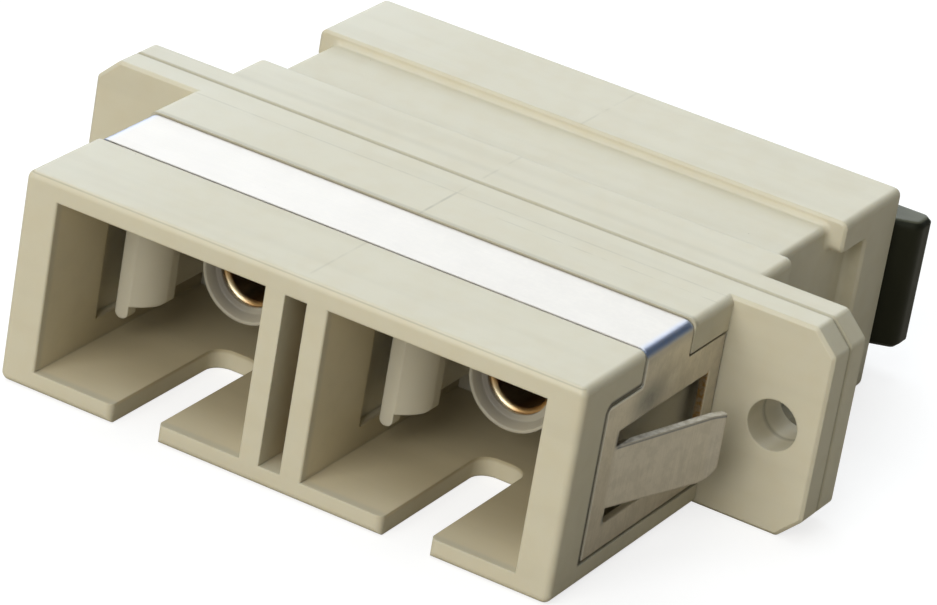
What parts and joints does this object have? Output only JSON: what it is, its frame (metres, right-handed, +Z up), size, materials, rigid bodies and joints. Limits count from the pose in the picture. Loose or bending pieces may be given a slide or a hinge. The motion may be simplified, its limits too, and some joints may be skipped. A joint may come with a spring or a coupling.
{
  "type": "sc fibre adapter",
  "caption": "Duplex fibre coupling: a flanged moulded housing with side-by-side ports, latch inserts, split sleeves, a sprung panel clip and a dust cap.",
  "frame": {"origin": "on the underside, midway between the ports, in the plane of the flange's front face", "axes": "+X across the two ports, +Y from the clipped front mouth to the capped rear mouth, +Z up"},
  "size_m": [0.0352, 0.0302, 0.0093],
  "materials": {
    "housing_plastic": "satin",
    "insert_plastic": "satin",
    "clip_steel": "satin",
    "sleeve_bronze": "satin",
    "cap_plastic": "matte"
  },
  "bodies": {
    "adapter": {"front_housing": "housing_plastic", "rear_housing": "housing_plastic", "mounting_clip": "clip_steel", "latch_insert_front_left": "insert_plastic", "latch_insert_front_right": "insert_plastic", "latch_insert_rear_left": "insert_plastic", "latch_insert_rear_right": "insert_plastic", "alignment_sleeve_left": "sleeve_bronze", "alignment_sleeve_right": "sleeve_bronze"},
    "cap": {"dust_cap": "cap_plastic"}
  },
  "joints": [
    {"name": "cap_pull", "type": "slide", "parent": "adapter", "child": "cap", "axis": [0, 1, 0], "range_m": [0, 0.008]}
  ]
}
